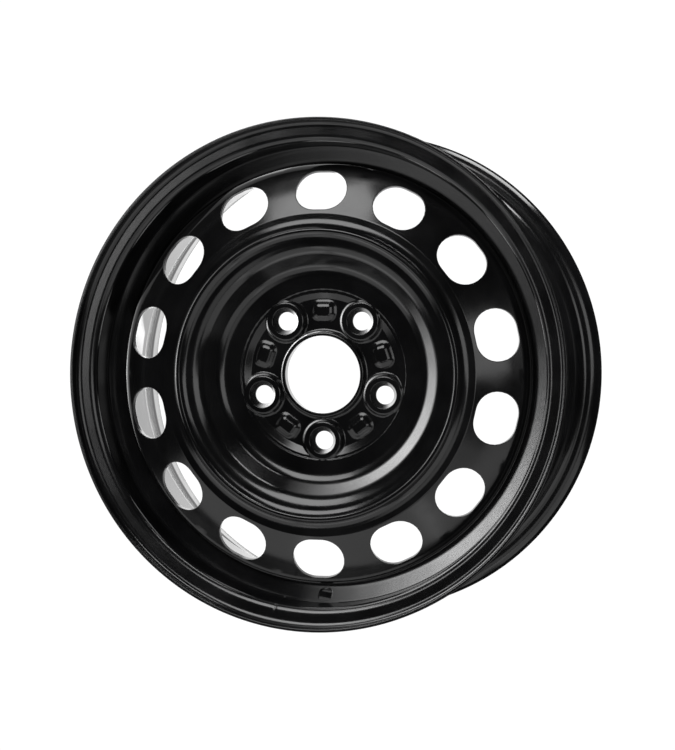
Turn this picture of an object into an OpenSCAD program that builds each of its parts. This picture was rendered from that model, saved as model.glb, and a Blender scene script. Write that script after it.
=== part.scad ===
// Pressed-steel road wheel: a rolled drop-centre rim with a pressed centre disc welded into its well.
// It lies on its inboard flange with its axis along Z and its outboard face up.
// The origin is at the centre of the hub mounting face. Sizes are in millimetres.

/* [Rim] */
// Diameter of the bead seats at the flanges
bead_d = 405.6; // [404.6:0.2:406.6]
// Width between the tyre faces of the two flanges
rim_width = 165.1; // [160:0.1:180]
// Height of a flange above its bead seat
flange_height = 17.3; // [16.5:0.1:18]
// Radius of the rolled flange on its tyre side
flange_roll = 9.5; // [8:0.5:10]
// Straight length of the flange lip past its roll
lip_length = 3.5; // [2:0.5:6]
// Thickness of the rim strip
rim_sheet = 2.6; // [2:0.1:3.2]
// Distance of the hub mounting face from the rim's middle plane
wheel_offset = 52.5; // [47:0.5:56]
// Width of a bead seat
seat_width = 21.5; // [18:0.5:24]
// Slope of a bead seat in degrees
seat_angle = 5; // [4:0.5:6]
// Radius between a bead seat and its flange
seat_corner = 6.5; // [4:0.5:7]
// Height of the hump behind a bead seat
hump_height = 1.2; // [0.8:0.1:1.6]
// Width of a hump from its foot to its crest
hump_width = 4; // [3:0.5:5]
// Radius of a hump's crest
hump_round = 5; // [4:0.5:6]
// Radius of the bend at a hump's foot
hump_foot_bend = 4; // [3:0.5:5]
// Depth of the well below the bead seats
well_depth = 17.3; // [16.3:0.1:18.3]
// Width of the well's floor
well_width = 36; // [34:1:40]
// Angle of the well's outboard wall to the axis in degrees
well_wall_angle = 46; // [42:1:50]
// Radius of the bends at the well's floor
well_bend = 9; // [6:1:11]

/* [Valve hole] */
// Diameter of the valve hole
valve_d = 11.5; // [10:0.1:14]
// Distance of the valve hole up the well's outboard wall, as a share of that wall
valve_height = 0.45; // [0.4:0.01:0.5]
// Place of the valve hole round the axis in degrees
valve_angle = 270; // [0:1:359]

/* [Disc] */
// Thickness of the disc's sheet
disc_sheet = 4; // [3.4:0.1:4.4]
// Depth of the hub recess below the flat ring round it
recess_depth = 3.6; // [3:0.1:4.4]
// Run of the recess wall from its foot to the crisp edge inside the flat ring
recess_run = 9; // [8:0.1:10]
// Distance of that edge past the nut seats
hub_edge_gap = 1; // [0.6:0.1:2]
// Width of the flat ring from that edge to the foot of the dish's wall
hub_ring_width = 17.6; // [16:0.1:20]
// Depth of the dish from the top of its wall to the flat ring
dish_depth = 22; // [20:0.5:24]
// Slope of the dish's wall in degrees
dish_angle = 56; // [52:1:60]
// Width of the ledge from the dish's wall to the foot of the crown
ledge_width = 11.6; // [10.4:0.1:13]
// Rise of the ledge across its width
ledge_rise = 1.5; // [0.8:0.1:2.2]
// Run of the crown's inner side
crown_rise_run = 3.4; // [3.2:0.1:4.2]
// Height of the crown above the ledge
crown_rise = 3.6; // [3.2:0.1:4]
// Width of the crown between its shoulders
crown_width = 5; // [4.8:0.1:7]
// Run of the crown's outer side
crown_side_run = 5.2; // [4.8:0.1:6.2]
// Drop from the crown to the groove at its foot
crown_drop = 7.6; // [6.6:0.1:8.4]
// Fall of the groove from the crown's foot to the edge at the top of the vent cone
groove_fall = 0.6; // [0.2:0.1:1.2]
// Width of the groove from the crown's foot to that edge
cone_edge_run = 7.25; // [6.5:0.05:8]
// Slope of the vent cone in degrees
cone_angle = 26; // [24:0.5:29]
// Length of the skirt below the disc's outer bend
skirt_length = 26; // [20:1:28]

/* [Disc edges] */
// Radius of the bend at the foot of the dish's wall
dish_foot_bend = 13; // [10:1:14]
// Radius of the bend at the top of the dish's wall
dish_top_bend = 15; // [12:0.5:17]
// Radius of the bend between the skirt and the vent cone
skirt_bend = 12; // [10:1:14]
// Radius of the bend at the foot of the hub recess
recess_bend = 5; // [3:0.5:7]
// Radius of the crisp edge inside the flat ring at the foot of the dish
hub_edge_bend = 1.5; // [1:0.1:2]
// Radius of the bend between the ledge and the crown
ledge_bend = 6; // [4:0.5:7]
// Radius of the crown's inner shoulder bend
crown_inner_bend = 4.5; // [3.6:0.1:4.9]
// Radius of the crown's outer shoulder bend
crown_outer_bend = 4.5; // [3.6:0.1:4.9]
// Radius of the bend at the foot of the crown
groove_bend = 6; // [4:0.5:8]
// Radius of the edge at the top of the vent cone
cone_edge_bend = 4; // [2:0.5:6]

/* [Hub] */
// Diameter of the centre bore
bore_d = 67.1; // [64:0.1:68]
// Height of the collar round the centre bore above the hub plate
collar_height = 4.5; // [3:0.5:5.5]
// Wall of that collar
collar_wall = 3.1; // [2.6:0.1:3.6]
// Rounding of the collar's top edge
collar_round = 1.4; // [0.8:0.1:1.8]
// Bend between the collar and the hub plate
collar_bend = 3; // [2:0.1:3.4]
// Widening of the collar from its top to its foot
collar_flare = 1.2; // [0.6:0.1:1.6]
// Diameter of the stud circle
stud_circle_d = 114.3; // [112:0.1:116]
// Number of studs
stud_count = 5; // [4:1:5]
// Place of the first stud round the axis in degrees
stud_angle = 54; // [0:1:359]
// Diameter of a stud hole
stud_hole_d = 16; // [14:0.2:17]
// Widest diameter of a nut seat
nut_seat_d = 23.4; // [22:0.2:25]
// Full angle of a nut seat's cone in degrees
nut_seat_angle = 60; // [60:5:90]
// Diameter of a nut seat's flat top
boss_d = 32.4; // [30:0.2:33.4]
// Height of a nut seat's flat top above the hub plate
boss_height = 4; // [3:0.2:4.6]
// Slope of a nut seat's outer side in degrees
boss_side_angle = 55; // [45:1:70]

/* [Relief pads] */
// Width of a relief pad
pad_width = 22; // [20:0.5:24]
// Distance of a relief pad from the centre bore
pad_bore_gap = 13; // [11.5:0.5:14.5]
// Distance of a relief pad from the foot of the recess wall
pad_wall_gap = 1; // [0.6:0.1:2]
// Height of a relief pad above the hub plate
pad_height = 3.2; // [2.4:0.1:3.4]
// Radius of a relief pad's corners, as a share of half its length
pad_corner_share = 0.79; // [0.74:0.01:0.88]
// How far a relief pad's sides lean in, as a share of its corner radius
pad_lean_share = 0.72; // [0.6:0.02:0.84]
// Width of the metal left round the hollow behind a pad, as a share of its corner radius
pad_rim_share = 0.43; // [0.36:0.01:0.56]
// Depth of the hollow behind a pad
pad_hollow = 2.6; // [2:0.1:3]

/* [Vents] */
// Number of vents
vent_count = 14; // [10:1:14]
// Place of the first vent round the axis in degrees
vent_angle = 89.6; // [0:0.1:359]
// Width of a vent round the disc
vent_width = 45.2; // [42:0.2:48]
// Distance down the cone from its top edge to a vent
vent_top_gap = 3.3; // [2.5:0.1:6]
// Distance down the cone from a vent to the corner of the skirt
vent_foot_gap = 7.6; // [7:0.1:12]
// Radius of a vent's corners, as a share of half its height
vent_corner_share = 0.9; // [0.7:0.02:0.9]

/* [Skirt drains] */
// Place of the middle of the pair of drain grooves in the skirt round the axis in degrees
drain_angle = 71; // [0:0.5:359]
// Angle between the two drain grooves in degrees
drain_spacing = 10.5; // [8:0.5:12]
// Width of a drain groove
drain_width = 11; // [8:0.5:14]
// Depth of a drain groove
drain_depth = 1.2; // [0.8:0.1:2]

/* [Welds] */
// Number of weld beads round the skirt
weld_count = 8; // [4:1:8]
// Share of the skirt's round that the beads cover
weld_share = 0.7; // [0.5:0.05:0.8]
// Leg of a weld bead on the skirt's end
weld_leg = 3.4; // [2.6:0.1:3.4]
// Length of a weld bead down the rim
weld_foot = 4.6; // [3.6:0.1:5.4]
// Height of a weld bead's crown over a flat fillet
weld_crown = 0.6; // [0.2:0.1:1]

/* [Smoothness] */
// Largest step along a bend in degrees
bend_step = 12; // [6:1:15]

/* [Hidden] */
$fn = 96;
// Room that a cutting shape needs past the face that it cuts
past = 1;
// Smallest bend on the inside of a folded sheet
least_bend = 0.5;
// Depth to which a raised pad is rooted in the hub plate
pad_root = 0.5;

// Radii and heights of the rim
bead_r = bead_d / 2;
flange_r = bead_r + flange_height;
well_r = bead_r - well_depth;
well_inner_r = well_r - rim_sheet;
middle_z = -wheel_offset;
outboard_z = middle_z + rim_width / 2;
inboard_z = middle_z - rim_width / 2;
lip_reach = flange_roll + lip_length;
seat_end_r = bead_r - seat_width * tan(seat_angle);
hump_r = seat_end_r + hump_height;
hump_reach = seat_width + hump_width;
well_wall_run = (hump_r - well_r) / tan(well_wall_angle);
well_top_z = outboard_z - hump_reach - well_wall_run;

// Radii of the hub and the disc, each from the one inside it
bore_r = bore_d / 2;
stud_r = stud_circle_d / 2;
hub_edge_r = stud_r + boss_d / 2 + hub_edge_gap;
recess_foot_r = hub_edge_r - recess_run;
dish_foot_r = hub_edge_r + hub_ring_width;
dish_top_r = dish_foot_r + dish_depth / tan(dish_angle);
ledge_r = dish_top_r + ledge_width;
crown_inner_r = ledge_r + crown_rise_run;
crown_outer_r = crown_inner_r + crown_width;
groove_r = crown_outer_r + crown_side_run;
cone_top_r = groove_r + cone_edge_run;

// Heights of the hub and the disc above the mounting face
boss_z = disc_sheet + boss_height;
collar_z = disc_sheet + collar_height;
hub_ring_z = disc_sheet + recess_depth;
dish_top_z = hub_ring_z + dish_depth;
ledge_z = dish_top_z + ledge_rise;
crown_z = ledge_z + crown_rise;
groove_z = crown_z - crown_drop;
cone_top_z = groove_z - groove_fall;
cone_foot_z = cone_top_z - (well_inner_r - cone_top_r) * tan(cone_angle);
skirt_end_z = cone_foot_z - skirt_bend * tan((90 - cone_angle) / 2) - skirt_length;
seat_depth = (nut_seat_d - stud_hole_d) / 2 / tan(nut_seat_angle / 2);

// Vents, which take up the cone between their two gaps
vent_height = (well_inner_r - cone_top_r) / cos(cone_angle) - vent_top_gap - vent_foot_gap;
vent_corner = vent_corner_share * min(vent_height, vent_width) / 2;
vent_middle = vent_top_gap + vent_height / 2;
vent_r = cone_top_r + vent_middle * cos(cone_angle);
vent_z = cone_top_z - vent_middle * sin(cone_angle);

// Relief pads, midway between the studs
pad_start_r = bore_r + pad_bore_gap;
pad_length = recess_foot_r - pad_wall_gap - pad_start_r;
pad_middle_r = pad_start_r + pad_length / 2;
pad_corner = pad_corner_share * min(pad_length, pad_width) / 2;
pad_lean = pad_lean_share * pad_corner;
pad_rim = pad_rim_share * pad_corner;
pad_angle = stud_angle + 180 / stud_count;

// Middle of the first weld bead, half a pitch from the drain grooves, so that they drain between two beads
weld_angle = drain_angle + 180 / weld_count;

// Tyre side of the rim, from the outboard lip to the inboard lip: radius, height, bend
rim_line = [
    [flange_r, outboard_z + lip_reach, 0],
    [flange_r, outboard_z, flange_roll],
    [bead_r, outboard_z, seat_corner],
    [seat_end_r, outboard_z - seat_width, hump_foot_bend],
    [hump_r, outboard_z - hump_reach, hump_round],
    [well_r, well_top_z, well_bend],
    [well_r, well_top_z - well_width, well_bend],
    [hump_r, inboard_z + hump_reach, hump_round],
    [seat_end_r, inboard_z + seat_width, hump_foot_bend],
    [bead_r, inboard_z, seat_corner],
    [flange_r, inboard_z, flange_roll],
    [flange_r, inboard_z - lip_reach, 0]
];

// Front of the disc, from the hub plate to the end of the skirt: radius, height, bend
disc_line = [
    [bore_r, disc_sheet, 0],
    [recess_foot_r, disc_sheet, recess_bend],
    [hub_edge_r, hub_ring_z, hub_edge_bend],
    [dish_foot_r, hub_ring_z, dish_foot_bend],
    [dish_top_r, dish_top_z, dish_top_bend],
    [ledge_r, ledge_z, ledge_bend],
    [crown_inner_r, crown_z, crown_inner_bend],
    [crown_outer_r, crown_z, crown_outer_bend],
    [groove_r, groove_z, groove_bend],
    [cone_top_r, cone_top_z, cone_edge_bend],
    [well_inner_r, cone_foot_z, skirt_bend],
    [well_inner_r, skirt_end_z, 0]
];

// Front of the collar round the centre bore: radius, height, bend
collar_line = [
    [bore_r, collar_z, 0],
    [bore_r + collar_wall, collar_z, collar_round],
    [bore_r + collar_wall + collar_flare, disc_sheet, collar_bend]
];

// Geometry of a bent line

function flat(p) = [p[0], p[1]];
function unit(a, b) = (flat(b) - flat(a)) / norm(flat(b) - flat(a));
function left_of(d) = [-d[1], d[0]];
function right_of(d) = [d[1], -d[0]];
function turned(v, a) = [v[0] * cos(a) - v[1] * sin(a), v[0] * sin(a) + v[1] * cos(a)];

// Signed turn from one direction to the next, positive to the left
function turn(u, v) = atan2(u[0] * v[1] - u[1] * v[0], u[0] * v[0] + u[1] * v[1]);

// Points of the bend at corner p between directions u and v
function bend(p, u, v) =
    let (
        a = turn(u, v),
        start = flat(p) - u * p[2] * tan(abs(a) / 2),
        centre = start + (a > 0 ? left_of(u) : right_of(u)) * p[2],
        steps = ceil(abs(a) / bend_step)
    )
    [for (i = [0:steps]) centre + turned(start - centre, a * i / steps)];

// A line of corners with its bends drawn in
function bent(line) =
    let (last = len(line) - 1)
    [
        for (i = [0:last])
            each i == 0 || i == last
                ? [flat(line[i])]
                : bend(line[i], unit(line[i - 1], line[i]), unit(line[i], line[i + 1]))
    ];

// The same corners moved to the right of the line by one thickness, with bends that keep it even
function other_side(line, thickness) =
    let (last = len(line) - 1)
    [
        for (i = [0:last])
            let (
                u = unit(line[max(i, 1) - 1], line[max(i, 1)]),
                v = unit(line[min(i, last - 1)], line[min(i, last - 1) + 1]),
                corner = (right_of(u) + right_of(v)) / (1 + u * v),
                radius = line[i][2] + thickness * sign(turn(u, v))
            )
            concat(flat(line[i]) + corner * thickness, max(radius, least_bend))
    ];

function reversed(list) = [for (i = [len(list) - 1:-1:0]) list[i]];

// A rounded rectangle, w wide and h high, centred on the origin
module rounded_box(w, h, r) {
    square([w, h - 2 * r], center = true);
    square([w - 2 * r, h], center = true);
    for (x = [-1, 1], y = [-1, 1])
        translate([x * (w / 2 - r), y * (h / 2 - r)])
            circle(r);
}

// A block on a rounded rectangle w by h whose four sides lean in by inset over the height z
module leaning_block(w, h, r, z, inset) {
    rotate([90, 0, 0])
        linear_extrude(h - 2 * r, center = true)
            leaning_side(w, z, inset);
    rotate([90, 0, 90])
        linear_extrude(w - 2 * r, center = true)
            leaning_side(h, z, inset);
    for (x = [-1, 1], y = [-1, 1])
        translate([x * (w / 2 - r), y * (h / 2 - r), 0])
            cylinder(r1 = r, r2 = r - inset, h = z);
}

module leaning_side(w, z, inset) {
    polygon([[-w / 2, 0], [w / 2, 0], [w / 2 - inset, z], [inset - w / 2, z]]);
}

// Places its children n times round the axis from a first angle
module ring_of(n, first) {
    for (i = [0:n - 1])
        rotate(first + 360 * i / n)
            children();
}

// Rim

module rim_section() {
    polygon(concat(bent(rim_line), reversed(bent(other_side(rim_line, rim_sheet)))));
}

// The valve hole, drilled square through the well's outboard wall
module valve_drill() {
    rotate(valve_angle)
        translate([
            well_r + (hump_r - well_r) * valve_height,
            0,
            well_top_z + well_wall_run * valve_height
        ])
            rotate([0, 90 + well_wall_angle, 0])
                cylinder(d = valve_d, h = 4 * rim_sheet, center = true);
}

module rim_barrel() {
    color([0.06, 0.06, 0.065])
        difference() {
            rotate_extrude()
                rim_section();
            valve_drill();
        }
}

// Disc

module disc_section() {
    back = other_side(disc_line, disc_sheet);
    polygon(concat(
        bent(concat(collar_line, [for (i = [1:len(disc_line) - 1]) disc_line[i]])),
        reversed(bent(back))
    ));
}

module nut_boss() {
    spread = (boss_z - disc_sheet) / tan(boss_side_angle);
    translate([stud_r, 0, disc_sheet / 2]) {
        cylinder(d = boss_d, h = boss_z - disc_sheet / 2);
        translate([0, 0, disc_sheet / 2])
            cylinder(d1 = boss_d + 2 * spread, d2 = boss_d, h = boss_z - disc_sheet);
    }
}

module nut_seat() {
    translate([stud_r, 0, 0]) {
        translate([0, 0, -past])
            cylinder(d = stud_hole_d, h = boss_z + 2 * past);
        translate([0, 0, boss_z - seat_depth])
            cylinder(
                d1 = stud_hole_d,
                d2 = nut_seat_d + 2 * past * tan(nut_seat_angle / 2),
                h = seat_depth + past
            );
    }
}

// A raised pad between two nut seats, rooted a little way into the hub plate
module relief_pad() {
    translate([pad_middle_r, 0, disc_sheet - pad_root])
        leaning_block(pad_length, pad_width, pad_corner, pad_height + pad_root, pad_lean);
}

// The hollow behind a pad
module pad_relief() {
    translate([pad_middle_r, 0, -past])
        linear_extrude(pad_hollow + past)
            rounded_box(pad_length - 2 * pad_rim, pad_width - 2 * pad_rim, pad_corner - pad_rim);
}

// A groove up the outside of the skirt that lets water out
module skirt_drain() {
    height = cone_foot_z - skirt_end_z;
    translate([well_inner_r, 0, skirt_end_z + height / 2])
        cube([2 * drain_depth, drain_width, height + 2 * past], center = true);
}

module wheel_disc() {
    color([0.05, 0.05, 0.055])
        difference() {
            union() {
                rotate_extrude()
                    disc_section();
                ring_of(stud_count, stud_angle)
                    nut_boss();
                ring_of(stud_count, pad_angle)
                    relief_pad();
            }
            ring_of(stud_count, pad_angle)
                pad_relief();
            for (side = [-1, 1])
                rotate(drain_angle + side * drain_spacing / 2)
                    skirt_drain();
            ring_of(stud_count, stud_angle)
                nut_seat();
            ring_of(vent_count, vent_angle)
                translate([vent_r, 0, vent_z])
                    rotate([0, cone_angle, 0])
                        linear_extrude(4 * disc_sheet, center = true)
                            rounded_box(vent_height, vent_width, vent_corner);
        }
}

// Welds

module weld_section() {
    corner = [well_inner_r, skirt_end_z];
    skirt_toe = corner - [weld_leg, 0];
    rim_toe = corner - [0, weld_foot];
    crown = (skirt_toe + rim_toe) / 2 + right_of(unit(skirt_toe, rim_toe)) * weld_crown;
    polygon([corner, skirt_toe, crown, rim_toe]);
}

module weld_beads() {
    span = 360 / weld_count * weld_share;
    color([0.1, 0.1, 0.1])
        ring_of(weld_count, weld_angle - span / 2)
            rotate_extrude(angle = span)
                weld_section();
}

rim_barrel();
wheel_disc();
weld_beads();
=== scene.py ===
"""Studio picture of a pressed-steel road wheel lying on its inboard flange, seen from above.

The rim, the disc and the weld beads are fine meshes on nearly the same section lines as the solids,
with the bends, punched edges and weld ripples drawn in. Sections are worked out in millimetres.
"""
import math

import bpy
import numpy as np
from mathutils import Matrix, Vector
from mathutils.geometry import delaunay_2d_cdt


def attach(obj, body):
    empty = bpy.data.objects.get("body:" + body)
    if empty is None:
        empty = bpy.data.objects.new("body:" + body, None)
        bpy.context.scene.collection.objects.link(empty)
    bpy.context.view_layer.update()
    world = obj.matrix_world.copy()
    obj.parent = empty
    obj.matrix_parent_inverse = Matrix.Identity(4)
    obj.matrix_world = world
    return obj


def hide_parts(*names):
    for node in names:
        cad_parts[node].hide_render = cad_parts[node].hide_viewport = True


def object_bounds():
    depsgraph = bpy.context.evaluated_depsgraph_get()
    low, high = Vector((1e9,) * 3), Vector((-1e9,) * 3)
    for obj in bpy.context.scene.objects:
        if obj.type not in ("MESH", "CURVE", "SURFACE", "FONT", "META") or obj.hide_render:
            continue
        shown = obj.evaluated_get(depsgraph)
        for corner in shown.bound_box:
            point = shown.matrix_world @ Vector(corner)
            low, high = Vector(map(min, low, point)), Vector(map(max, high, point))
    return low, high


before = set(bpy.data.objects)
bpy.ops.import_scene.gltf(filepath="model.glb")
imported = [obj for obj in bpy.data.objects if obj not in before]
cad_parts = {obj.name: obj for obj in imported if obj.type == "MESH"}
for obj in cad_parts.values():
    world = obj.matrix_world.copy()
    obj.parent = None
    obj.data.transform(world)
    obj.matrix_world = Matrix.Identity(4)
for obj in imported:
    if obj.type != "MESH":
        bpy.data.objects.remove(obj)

CAD_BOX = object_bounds()
MM = 0.001
NO_LENGTH = 1e-9
NEARLY_ZERO = 1e-6

# Rim
BEAD_R = 202.8
RIM_WIDTH = 165.1
FLANGE_HEIGHT = 17.3
FLANGE_ROLL = 9.5
# Roll and corner of the outboard flange, crisper than the solid's
FRONT_ROLL = 8.0
FRONT_CORNER = 4.0
LIP_LENGTH = 3.5
RIM_SHEET = 2.6
WHEEL_OFFSET = 52.5
SEAT_WIDTH = 21.5
SEAT_ANGLE = math.radians(5)
SEAT_CORNER = 6.5
HUMP_HEIGHT = 1.2
HUMP_WIDTH = 4.0
HUMP_ROUND = 5.0
HUMP_FOOT_BEND = 4.0
WELL_DEPTH = 17.3
WELL_WIDTH = 36.0
WELL_WALL_ANGLE = math.radians(46)
# Outboard bend of the well, wider than the solid's
WELL_TOP_BEND = 13.0
WELL_BEND = 9.0
LIP_EDGE = 0.7

# Valve hole and the planed butt weld of the rim strip
VALVE_R = 5.75
VALVE_REACH = 7.6
VALVE_HEIGHT = 0.49
VALVE_ANGLE = math.radians(270)
VALVE_EDGE = 0.5
SEAM_ANGLE = math.radians(260)
SEAM_WIDTH = 1.1
SEAM_START_R = 196.0
SEAM_END_R = 207.5
SEAM_FADE = 2.0
SEAM_HEIGHT = 0.22

# Disc
DISC_SHEET = 4.0
RECESS_DEPTH = 3.6
RECESS_RUN = 9.0
HUB_EDGE_GAP = 1.0
HUB_RING_WIDTH = 17.6
DISH_DEPTH = 22.0
DISH_ANGLE = math.radians(56)
LEDGE_WIDTH = 11.6
LEDGE_RISE = 1.5
CROWN_RISE_RUN = 3.4
CROWN_RISE = 3.6
CROWN_WIDTH = 5.0
CROWN_SIDE_RUN = 5.2
CROWN_DROP = 7.6
GROOVE_FALL = 0.6
CONE_EDGE_RUN = 7.25
CONE_ANGLE = math.radians(26)
SKIRT_LENGTH = 26.0
DISH_FOOT_BEND = 13.0
DISH_TOP_BEND = 15.0
SKIRT_BEND = 12.0
RECESS_BEND = 2.5
HUB_EDGE_BEND = 1.5
LEDGE_BEND = 6.0
CROWN_BEND = 4.5
GROOVE_BEND = 6.0
CONE_EDGE_BEND = 4.0
# Slight bulge of the vent cone
CONE_BULGE = 1.0
CONE_BULGE_BEND = 200.0
# Front of the dish's top, ledge, crown and groove, its crown sharper than the solid's: radius, height, bend
CREST_FRONT = (
    (107.6, 28.1, 16.5),
    (119.6, 29.5, 10.0),
    (122.7, 33.0, 1.8),
    (125.3, 33.0, 1.8),
    (128.9, 27.2, 11.0),
)
SKIRT_EDGE = 0.6
# Mounting face on the back, carried out past the stud holes
BACK_FACE_REACH = 2.6
BACK_FACE_BEND = 1.0

# Hub
BORE_R = 33.55
BORE_EDGE = 0.7
COLLAR_HEIGHT = 4.5
COLLAR_WALL = 3.1
COLLAR_FLARE = 1.2
COLLAR_ROUND = 1.4
COLLAR_BEND = 3.0
STUD_R = 57.15
STUD_COUNT = 5
STUD_ANGLE = math.radians(54)
STUD_HOLE_R = 8.0
STUD_HOLE_EDGE = 0.4
NUT_SEAT_R = 11.7
NUT_SEAT_HALF_ANGLE = math.radians(30)
NUT_SEAT_FOOT_BEND = 0.5
NUT_SEAT_EDGE = 0.8
BOSS_R = 16.2
BOSS_HEIGHT = 4.0
BOSS_SIDE_ANGLE = math.radians(55)
BOSS_ROUND = 1.4
PAD_WIDTH = 22.0
PAD_BORE_GAP = 13.0
PAD_WALL_GAP = 1.0
PAD_HEIGHT = 3.2
PAD_CORNER = 7.0
PAD_SIDE_ANGLE = math.radians(36)
PAD_ROUND = 1.4
PAD_RIM = 3.0
PAD_HOLLOW = 2.6
HOLLOW_SIDE_ANGLE = math.radians(70)
HOLLOW_ROUND = 1.0
HOLLOW_EDGE_BLEND = 0.6
FOOT_BLEND = 1.6
# Small step where the recess meets the hub's ring
HUB_STEP = 0.8
HUB_STEP_FOOT_BEND = 0.4
HUB_STEP_TOP_BEND = 0.5
RECESS_TOP_R = 71.4
RECESS_TOP_BEND = 2.0

# Vents
VENT_COUNT = 14
VENT_ANGLE = math.radians(89.6)
VENT_WIDTH = 45.2
VENT_TOP_GAP = 3.3
VENT_FOOT_GAP = 7.6
VENT_CORNER_SHARE = 0.98
VENT_EDGE = 0.8

# Skirt drains and welds
DRAIN_ANGLES = (math.radians(65.75), math.radians(76.25))
DRAIN_HALF_WIDTH = 5.5
DRAIN_DEPTH = 1.2
# Reach and sloping side of a drain, as shares of its half width
DRAIN_REACH = 1.2
DRAIN_SIDE = 0.4
# Least outward part of the face where the drains are pressed
DRAIN_FACING = 0.75
WELD_COUNT = 8
WELD_ANGLE = math.radians(93.5)
WELD_SHARE = 0.7
WELD_LEG = 3.4
WELD_FOOT = 4.6
WELD_CROWN = 0.6
WELD_RIPPLE = 0.16
WELD_RIPPLE_LENGTH = 1.9

# Fineness of the meshes
ARC_STEP = math.radians(7.5)
NEAREST_STEP = 0.05
# Least share of a wanted direction that counts as facing it
FACING_SHARE = 0.9
LEAST_BEND = 0.5
AHEAD_STEP = 0.01
SLOPE_STEP = 0.02
LINE_STEP = 9.0
MERGE_DIGITS = 4
HALVINGS = 40
LIFT_ROUNDS = 12
HEIGHT_SAMPLES = 4000
RIM_STEP_DEGREES = 1.5
SEAM_FINE_REACH = math.radians(2)
SEAM_FINE_STEP = math.radians(0.1)
VALVE_FINE_STEP = math.radians(0.5)
VALVE_WINDOW_HALF_ANGLE = math.radians(4)
VALVE_WINDOW_MARGIN = 1.8
VALVE_COLUMNS = 16
VENT_WINDOW_MARGIN = 2.1
DISC_SECTOR_STEPS = 19
WINDOW_ROWS = 8
WINDOW_RINGS = 6
EDGE_STEPS = 4
WELD_STEPS = 110
WELD_ACROSS = 10

# Seams between the swept parts of the disc and the hub's sheets
HUB_SEAM_R = 80.0
HUB_SEAM_OVERLAP = 1.0
BACK_SEAM_R = 67.2
COLLAR_SEAM_R = BORE_R + 1.5
BOSS_SEAM_R = 14.0
HOLE_BACK_SEAM_R = STUD_HOLE_R + 1.5
BORE_POINTS = 180
HOLE_POINTS = 72

# Filler rings of the hub's front and of each boss: first radius, end radius, step, points in a ring
HUB_RINGS = (
    (COLLAR_SEAM_R + 0.4, 41, 0.45, 200),
    (62.5, 72.5, 0.9, 360),
    (72.8, 75.6, 0.2, 420),
)
BOSS_RINGS = (BOSS_SEAM_R + 0.5, 20.5, 0.5, 110)
# Filler grids of the hub and of its pads
GRID_STEP = 1.0
GRID_SHIFT = 0.25
PAD_GRID_STEP = 0.6
PAD_GRID_REACH = 2
# Least gap between points, and the gaps kept from the collar's, outer and stud seams
FRONT_GAP = 0.52
FRONT_MARGINS = (0.2, 0.3, 0.2)
BACK_GAP = 0.95
BACK_MARGINS = (0.3, 0.4, 0.3)

# Worked-out places
FLANGE_R = BEAD_R + FLANGE_HEIGHT
WELL_R = BEAD_R - WELL_DEPTH
WELL_INNER_R = WELL_R - RIM_SHEET
OUTBOARD_Z = RIM_WIDTH / 2 - WHEEL_OFFSET
INBOARD_Z = -RIM_WIDTH / 2 - WHEEL_OFFSET
LIP_REACH = FLANGE_ROLL + LIP_LENGTH
SEAT_END_R = BEAD_R - SEAT_WIDTH * math.tan(SEAT_ANGLE)
HUMP_R = SEAT_END_R + HUMP_HEIGHT
HUMP_REACH = SEAT_WIDTH + HUMP_WIDTH
WELL_WALL_RUN = (HUMP_R - WELL_R) / math.tan(WELL_WALL_ANGLE)
WELL_TOP_Z = OUTBOARD_Z - HUMP_REACH - WELL_WALL_RUN
HUB_EDGE_R = STUD_R + BOSS_R + HUB_EDGE_GAP
RECESS_FOOT_R = HUB_EDGE_R - RECESS_RUN
DISH_FOOT_R = HUB_EDGE_R + HUB_RING_WIDTH
DISH_TOP_R = DISH_FOOT_R + DISH_DEPTH / math.tan(DISH_ANGLE)
LEDGE_R = DISH_TOP_R + LEDGE_WIDTH
CROWN_INNER_R = LEDGE_R + CROWN_RISE_RUN
CROWN_OUTER_R = CROWN_INNER_R + CROWN_WIDTH
GROOVE_R = CROWN_OUTER_R + CROWN_SIDE_RUN
CONE_TOP_R = GROOVE_R + CONE_EDGE_RUN
BOSS_Z = DISC_SHEET + BOSS_HEIGHT
COLLAR_Z = DISC_SHEET + COLLAR_HEIGHT
HUB_RING_Z = DISC_SHEET + RECESS_DEPTH
DISH_TOP_Z = HUB_RING_Z + DISH_DEPTH
LEDGE_Z = DISH_TOP_Z + LEDGE_RISE
CROWN_Z = LEDGE_Z + CROWN_RISE
GROOVE_Z = CROWN_Z - CROWN_DROP
CONE_TOP_Z = GROOVE_Z - GROOVE_FALL
CONE_FOOT_Z = CONE_TOP_Z - (WELL_INNER_R - CONE_TOP_R) * math.tan(CONE_ANGLE)
SKIRT_END_Z = CONE_FOOT_Z - SKIRT_BEND * math.tan(math.pi / 4 - CONE_ANGLE / 2) - SKIRT_LENGTH
SEAT_FOOT_Z = BOSS_Z - (NUT_SEAT_R - STUD_HOLE_R) / math.tan(NUT_SEAT_HALF_ANGLE)
VENT_HEIGHT = (WELL_INNER_R - CONE_TOP_R) / math.cos(CONE_ANGLE) - VENT_TOP_GAP - VENT_FOOT_GAP
VENT_CORNER = VENT_CORNER_SHARE * VENT_HEIGHT / 2
VENT_MIDDLE = VENT_TOP_GAP + VENT_HEIGHT / 2
VENT_R = CONE_TOP_R + VENT_MIDDLE * math.cos(CONE_ANGLE)
VENT_Z = CONE_TOP_Z - VENT_MIDDLE * math.sin(CONE_ANGLE)
PAD_START_R = BORE_R + PAD_BORE_GAP
PAD_END_R = RECESS_FOOT_R - PAD_WALL_GAP
PAD_ANGLE = STUD_ANGLE + math.pi / STUD_COUNT
FRONT_PLANE_Z = OUTBOARD_Z + FLANGE_ROLL


# Section lines

def left_of(d):
    return np.array([-d[1], d[0]])


def unit(a, b):
    d = np.asarray(b[:2], float) - np.asarray(a[:2], float)
    return d / np.linalg.norm(d)


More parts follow.
